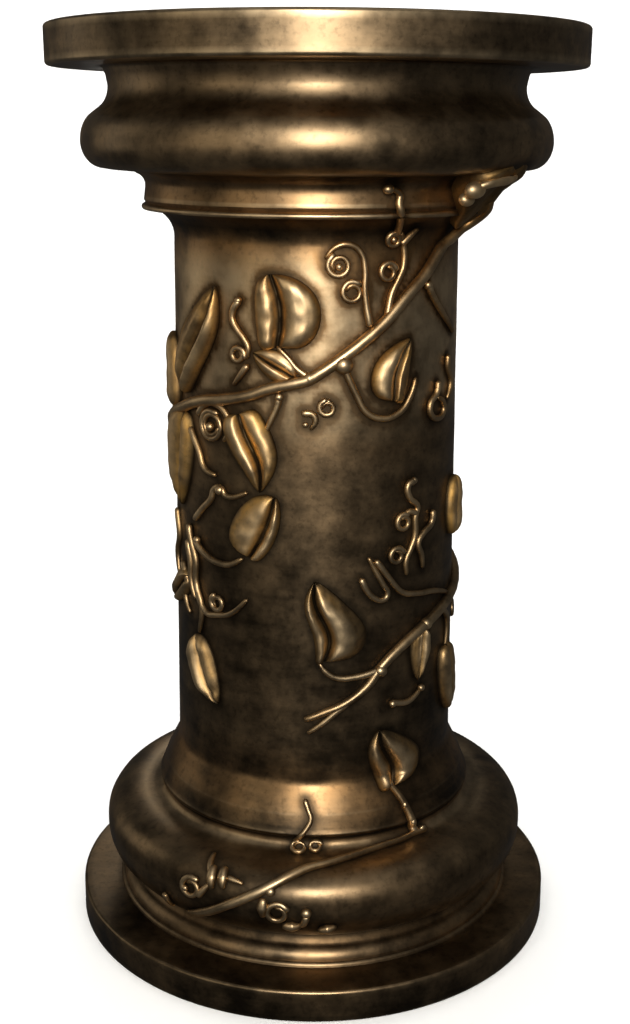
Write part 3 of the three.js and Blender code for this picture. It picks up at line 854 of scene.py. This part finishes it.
def turned_curvature(line):
    """Along the half section: above zero on ridges and edges, below in hollows."""
    points = np.array(line)
    walk = np.concatenate([[0], np.cumsum(np.hypot(*np.diff(points, axis=0).T))])
    steps = np.arange(0, walk[-1], 0.5)
    r, z = (np.interp(steps, walk, points[:, k]) for k in (0, 1))
    angle = np.unwrap(np.arctan2(np.gradient(z), np.gradient(r)))
    kernel = np.hanning(17)
    kernel /= kernel.sum()
    bend = np.convolve(np.gradient(angle, steps), kernel, mode="same")
    return np.interp(walk, steps, bend)


def patina_and_shade_of_body():
    bend = turned_curvature(section)
    stations = kdtree.KDTree(len(section))
    for i, (r, z) in enumerate(section):
        stations.insert((r, z, 0), i)
    stations.balance()
    places = points_of(body) / MM
    ring = np.array([bend[stations.find((math.hypot(x, y), z, 0))[1]] for x, y, z in places])
    rub = np.interp(places[:, 2], *zip(*EDGE_RUB_BY_HEIGHT))
    rub_and_sheen = np.interp(places[:, 2], *zip(*RUB_AND_SHEEN_BY_HEIGHT))
    # Ridges keep rubbed metal; the height bands add a painted highlight where the front light's
    # reflection falls.
    store(body, "crest", np.maximum(np.clip(ring * 7, 0, 0.8) * rub, rub_and_sheen))
    near = kdtree.KDTree(sum(len(p.data.vertices) for p in vine))
    for p in vine:
        for place in points_of(p):
            near.insert(place, 0)
    near.balance()
    gap = np.array([near.find(p)[2] for p in points_of(body)]) / MM
    halo = np.exp(-((gap / HALO_MM) ** 2))
    lip = np.interp(places[:, 2], *zip(*LIP_SHADOW_BY_HEIGHT))
    # Hollows of the section, the ground beside the vine and the places under the lips all darken
    # the colour: painted shade over patina.
    store(body, "hollow", np.clip(np.clip(-ring * 3 - 0.2, 0, 0.4) + 0.9 * halo + lip, 0, 1))
    print("patina: ridges", int((ring > 0.05).sum()), "hollows", int((ring < -0.05).sum()))


patina_and_shade_of_body()

# %% [markdown]
# ## Tones by height
# The metal is lighter on the capital, the top of the drum, the flare and the base, and almost black
# on the drum's lower half; the lighter bands at the ovolo, the foot hollow and the drum top are
# partly a painted highlight, where the front light's reflection falls. A warm amber glaze lies
# where the drum meets the capital, and the leaves have a golden glaze of their own, strongest on
# those at the left. All three are stored as numbers too, read off short lists of heights.

# %% Tones by height
# The higher values at the ovolo, the foot hollow and the drum top are partly a painted highlight.
GOLD_BY_HEIGHT = [(0, 0.25), (26, 0.5), (32, 0.55), (42, 0.45), (50, 0.35), (62, 0.3), (108, 0.42),
                  (114, 0.8), (119, 0.7), (125, 0.25), (131, 0.25), (150, 0.5), (175, 0.35),
                  (215, 0.3), (300, 0.3), (370, 0.42), (460, 0.75), (545, 1.0), (592, 0.95),
                  (612, 0.2), (622, 0.7), (640, 0.6), (655, 0.3), (680, 0.5), (715, 0.6),
                  (735, 0.42), (762, 0.4)]
AMBER_BY_HEIGHT = [(0, 0.3), (28, 0.4), (34, 0.7), (44, 0.6), (60, 0.35), (110, 0.35), (130, 0.7),
                   (160, 0.9), (200, 0.2), (420, 0.3), (520, 0.8), (570, 1.0), (612, 1.0),
                   (622, 0.8), (640, 0.7), (680, 0.25), (762, 0.15)]
LEAF_GOLD = 0.4
SMOOTH_UP_TO = 50
GLAZE_BY_HEIGHT = [(0, 0.9), (320, 0.9), (350, 1.6), (470, 1.6), (510, 1.1), (762, 1.1)]


def tone_by_height(piece, more_gold):
    height = points_of(piece)[:, 2] / MM
    for name, steps in (("gold", GOLD_BY_HEIGHT), ("amber", AMBER_BY_HEIGHT)):
        at, value = zip(*steps)
        more = more_gold if name == "gold" else 0
        store(piece, name, np.clip(np.interp(height, at, value) + more, 0, 1))


tone_by_height(body, 0)
for piece in vine:
    tone_by_height(piece, LEAF_GOLD)
for piece, share in ((body, 0.0), (vine_stems, 0.3), (vine_tendrils, 0.3), (vine_leaves, 1.0)):
    height = points_of(piece)[:, 2] / MM
    store(piece, "leaf", share * np.interp(height, *zip(*GLAZE_BY_HEIGHT)))
uneven(body, WAVE_MM, WAVE_SIZE_MM)
for piece in [body, *vine]:
    pick(piece)
    bpy.ops.object.shade_smooth_by_angle(angle=math.radians(SMOOTH_UP_TO))
print("stored on the body:", [a.name for a in body.data.attributes if a.data_type == "FLOAT"])

# %% [markdown]
# ## Antique bronze
# The finish is bronze that was darkened and then rubbed back. In the material, a dark brown patina
# lies over a warm metal. The stored crest brings the metal up on ridges and in the painted
# highlight bands, the stored hollow darkens grooves, the vine's edges and the lips as painted shade
# over the patina, and soft noise breaks both up, as a cloth does. Roughness follows the patina,
# because the rubbed metal is the smoother of the two. All patterns read Object coordinates.

# %% Material


class Graph:
    """Short words for adding nodes and joining them."""

    def __init__(self, name):
        self.material = bpy.data.materials.new(name)
        self.material.use_nodes = True
        self.tree = self.material.node_tree
        self.shader = self.tree.nodes["Principled BSDF"]

    def node(self, kind, **inputs):
        made = self.tree.nodes.new(kind)
        for key, value in inputs.items():
            numbered = key[0] == "i" and key[1:].isdigit()
            slot = made.inputs[int(key[1:]) if numbered else key]
            if isinstance(value, bpy.types.NodeSocket):
                self.tree.links.new(value, slot)
            else:
                slot.default_value = value
        return made

    def noise(self, coords, scale, detail=4.0, rough=0.55, warp=0.0):
        made = self.node("ShaderNodeTexNoise", Vector=coords, Scale=scale, Detail=detail,
                         Roughness=rough, Distortion=warp)
        return made.outputs["Fac"]

    def stretch(self, value, low, high, to_low=0.0, to_high=1.0):
        made = self.node("ShaderNodeMapRange", **{
            "Value": value, "From Min": low, "From Max": high,
            "To Min": to_low, "To Max": to_high})
        return made.outputs["Result"]

    def sum(self, kind, a, b):
        made = self.node("ShaderNodeMath", i0=a, i1=b)
        made.operation = kind
        made.use_clamp = kind in ("ADD", "SUBTRACT")
        return made.outputs[0]

    def blend(self, amount, first, second, kind="MIX"):
        made = self.tree.nodes.new("ShaderNodeMix")
        made.data_type = "RGBA"
        made.blend_type = kind
        for slot, value in ((0, amount), (6, first), (7, second)):
            if isinstance(value, bpy.types.NodeSocket):
                self.tree.links.new(value, made.inputs[slot])
            else:
                made.inputs[slot].default_value = value
        return made.outputs[2]


PATINA_AND_SHADE_DARK = (0.018, 0.015, 0.011, 1)
PATINA_BROWN = (0.075, 0.054, 0.033, 1)
BRONZE = (0.46, 0.335, 0.195, 1)
AMBER = (0.50, 0.27, 0.10, 1)
RUBBED_GOLD_AND_SHEEN = (0.90, 0.69, 0.42, 1)
LEAF_GLAZE = (0.72, 0.43, 0.13, 1)


def antique_bronze():
    g = Graph("antique_bronze")
    place = g.node("ShaderNodeTexCoord").outputs["Object"]
    stored = {}
    for name in ("crest", "hollow", "gold", "amber", "leaf"):
        reader = g.node("ShaderNodeAttribute")
        reader.attribute_name = name
        stored[name] = reader.outputs["Fac"]
    crest, hollow, gold, amber, leaf = stored.values()
    cloud = g.noise(place, 9.0, 5.0, 0.6, 0.4)
    mottle = g.noise(place, 38.0, 5.0, 0.65)
    speck = g.noise(place, 210.0, 3.0, 0.6)
    flat = g.node("ShaderNodeMapping", Vector=place, Scale=(0.35, 0.35, 2.2)).outputs[0]
    scuff = g.noise(flat, 30.0, 4.0, 0.6)
    tone = g.sum("ADD", gold, g.stretch(cloud, 0.35, 0.65, -0.22, 0.22))
    tone = g.sum("ADD", tone, g.stretch(scuff, 0.35, 0.65, -0.12, 0.12))
    tone = g.sum("ADD", tone, g.stretch(mottle, 0.35, 0.65, -0.18, 0.14))
    # Crest lifts the colour to rubbed gold: rubbed metal on ridges, and a painted highlight in the
    # height bands and on the capital lobes.
    wear_and_sheen = g.sum("MULTIPLY", g.stretch(crest, 0.1, 1.0, 0.0, 0.85),
                 g.stretch(mottle, 0.3, 0.6, 0.4, 1.0))
    wear_and_sheen = g.sum("SUBTRACT", wear_and_sheen, hollow)
    base = g.blend(tone, PATINA_BROWN, BRONZE)
    warm = g.sum("MULTIPLY", amber, g.stretch(cloud, 0.3, 0.6, 0.5, 0.9))
    base = g.blend(warm, base, g.blend(tone, PATINA_BROWN, AMBER))
    glaze = g.sum("MULTIPLY", g.sum("MULTIPLY", leaf, tone), g.stretch(mottle, 0.3, 0.6, 0.1, 0.6))
    base = g.blend(glaze, base, LEAF_GLAZE)
    base = g.blend(g.stretch(speck, 0.52, 0.72, 0.0, 0.35), base, PATINA_AND_SHADE_DARK)
    # The stored hollow darkens the colour: painted shade in grooves, beside the vine and under
    # lips, over patina.
    base = g.blend(g.stretch(hollow, 0.0, 1.0, 0.0, 0.93), base, PATINA_AND_SHADE_DARK)
    g.tree.links.new(g.blend(wear_and_sheen, base, RUBBED_GOLD_AND_SHEEN), g.shader.inputs["Base Color"])
    dull = g.sum("ADD", g.stretch(mottle, 0.3, 0.7, 0.0, 0.6), g.sum("MULTIPLY", hollow, 0.6))
    dull = g.sum("ADD", dull, g.sum("MULTIPLY", leaf, 0.35))
    g.tree.links.new(g.stretch(dull, 0.0, 1.0, 0.31, 0.56), g.shader.inputs["Roughness"])
    g.shader.inputs["Metallic"].default_value = 1.0
    height = g.sum("ADD", g.sum("MULTIPLY", mottle, 0.5), g.sum("MULTIPLY", speck, 0.2))
    grain = g.node("ShaderNodeBump", Strength=0.2, Distance=0.0006, Height=height)
    g.tree.links.new(grain.outputs[0], g.shader.inputs["Normal"])
    return g.material


bronze = antique_bronze()
for piece in [body, *vine]:
    piece.data.materials.clear()
    piece.data.materials.append(bronze)
    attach(piece, "root")
    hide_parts("pedestal")
print("finish on", len(vine) + 1, "pieces")

# %% [markdown]
# ## Studio
# A round pale floor that curves up into a pale wall, so that there is a plain ground from every
# side. A disc is the start, and its rim is extruded upwards and widened in small steps. The metal
# doesn't mirror it, as the real one stood opposite a dark room.

# %% Floor and wall
SWEEP_RADIUS = 2.5
SWEEP_CURVE = 0.8
SWEEP_WALL = 3.2
SWEEP_SIDES = 96
SWEEP_STEPS = 10


def paint(name, colour, roughness):
    made = bpy.data.materials.new(name)
    made.use_nodes = True
    shader = made.node_tree.nodes["Principled BSDF"]
    shader.inputs["Base Color"].default_value = (*colour, 1)
    shader.inputs["Roughness"].default_value = roughness
    return made


def sweep():
    start_clean()
    bpy.ops.mesh.primitive_circle_add(vertices=SWEEP_SIDES, radius=SWEEP_RADIUS, fill_type="NGON")
    ground = name_new("studio_sweep")
    bpy.ops.object.mode_set(mode="EDIT")
    bpy.ops.mesh.select_all(action="SELECT")
    bpy.ops.mesh.select_mode(type="EDGE")
    bpy.ops.mesh.region_to_loop()
    steps = SWEEP_STEPS
    reach = SWEEP_RADIUS
    for i in range(1, steps + 1):
        before, after = (math.pi / 2 * k / steps for k in (i - 1, i))
        rise = SWEEP_CURVE * (math.cos(before) - math.cos(after))
        wider = SWEEP_RADIUS + SWEEP_CURVE * math.sin(after)
        bpy.ops.mesh.extrude_region_move(TRANSFORM_OT_translate={"value": (0, 0, rise)})
        bpy.ops.transform.resize(value=(wider / reach, wider / reach, 1),
                                 center_override=(0, 0, 0))
        reach = wider
    bpy.ops.mesh.extrude_region_move(TRANSFORM_OT_translate={"value": (0, 0, SWEEP_WALL)})
    bpy.ops.object.mode_set(mode="OBJECT")
    bpy.ops.object.shade_smooth_by_angle(angle=math.radians(40))
    ground.data.materials.append(paint("pale_sweep", (0.86, 0.86, 0.85), 0.9))
    ground.visible_glossy = False
    return ground


ground = sweep()
print("floor and wall:", len(ground.data.polygons), "faces")

# %% [markdown]
# ## Lights
# A tall soft light stands in front, a little above the camera, and draws the bright band down the
# drum. Weak ones at the left, at the front left, above and behind only edge the rims and lift the
# sides. The washes light the wall all round, and they are kept out of the metal's reflections.

# %% Lights


def soft_light(name, place, aim, size, power, colour=(1, 1, 1), mirrored=True):
    start_clean()
    bpy.ops.object.light_add(type="AREA", location=place)
    light = name_new(name)
    light.data.shape = "RECTANGLE"
    light.data.size, light.data.size_y = size
    light.data.energy = power
    light.data.color = colour
    light.visible_camera = False
    light.visible_glossy = mirrored
    light.rotation_euler = (Vector(aim) - Vector(place)).to_track_quat("-Z", "Y").to_euler()
    return light


soft_light("key", (0.0, -1.75, 1.08), (0, 0, 0.45), (0.30, 0.80), 24, (1, 0.96, 0.9))
soft_light("left_fill", (-2.2, 0.6, 0.8), (0, 0, 0.3), (1.0, 1.5), 2.2, (1, 0.92, 0.78))
soft_light("front_left", (-1.5, -1.5, 0.9), (0, 0, 0.45), (0.8, 1.4), 3, (1, 0.9, 0.72))
soft_light("behind", (-0.2, 2.0, 1.0), (0, 0, 0.4), (0.6, 0.9), 2, (1, 0.96, 0.88))
soft_light("overhead", (0, -0.2, 2.7), (0, 0, 0.4), (2.4, 2.0), 4, (1, 0.97, 0.92))
soft_light("wall_wash", (0, 1.2, 2.8), (0, 2.9, 1.2), (3.0, 0.6), 75, mirrored=False)
WASH_POWER = 32
for name, x, y in (("left_wash", -1, 0), ("right_wash", 1, 0), ("front_wash", 0, -1)):
    soft_light(name, (1.2 * x, 1.2 * y, 2.8), (2.9 * x, 2.9 * y, 1.2),
               (3.0, 0.6), WASH_POWER, mirrored=False)
world = bpy.data.worlds.new("studio")
bpy.context.scene.world = world
world.use_nodes = True
background = world.node_tree.nodes["Background"]
background.inputs["Color"].default_value = (0.95, 0.97, 1, 1)
background.inputs["Strength"].default_value = 0.04
bpy.context.scene.view_settings.view_transform = "Standard"

# %% [markdown]
# ## Camera
# The camera stands in front at the height and tilt that were fitted to the photograph, with the
# same angle of view. It has no blur, so that every part of the column stays sharp.

# %% Camera
CAMERA_DISTANCE_MM = 1170.3
CAMERA_HEIGHT_MM = 690.6
CAMERA_DOWN = math.degrees(0.27324)
CAMERA_ROLL = 0.3
FOCAL_PIXELS = 1394.68
FRAME_LONG_SIDE = 1024
SENSOR = 36.0


def stand_camera():
    start_clean()
    bpy.ops.object.camera_add(location=(0, -CAMERA_DISTANCE_MM * MM, CAMERA_HEIGHT_MM * MM))
    camera = name_new("photo_camera")
    camera.data.sensor_width = SENSOR
    camera.data.lens = FOCAL_PIXELS / FRAME_LONG_SIDE * SENSOR
    tip = Matrix.Rotation(math.radians(90 - CAMERA_DOWN), 4, "X")
    roll = Matrix.Rotation(math.radians(CAMERA_ROLL), 4, "Z")
    camera.rotation_euler = (tip @ roll).to_euler()
    bpy.context.scene.camera = camera
    return camera


camera = stand_camera()
print("lens", round(camera.data.lens, 2), "mm")
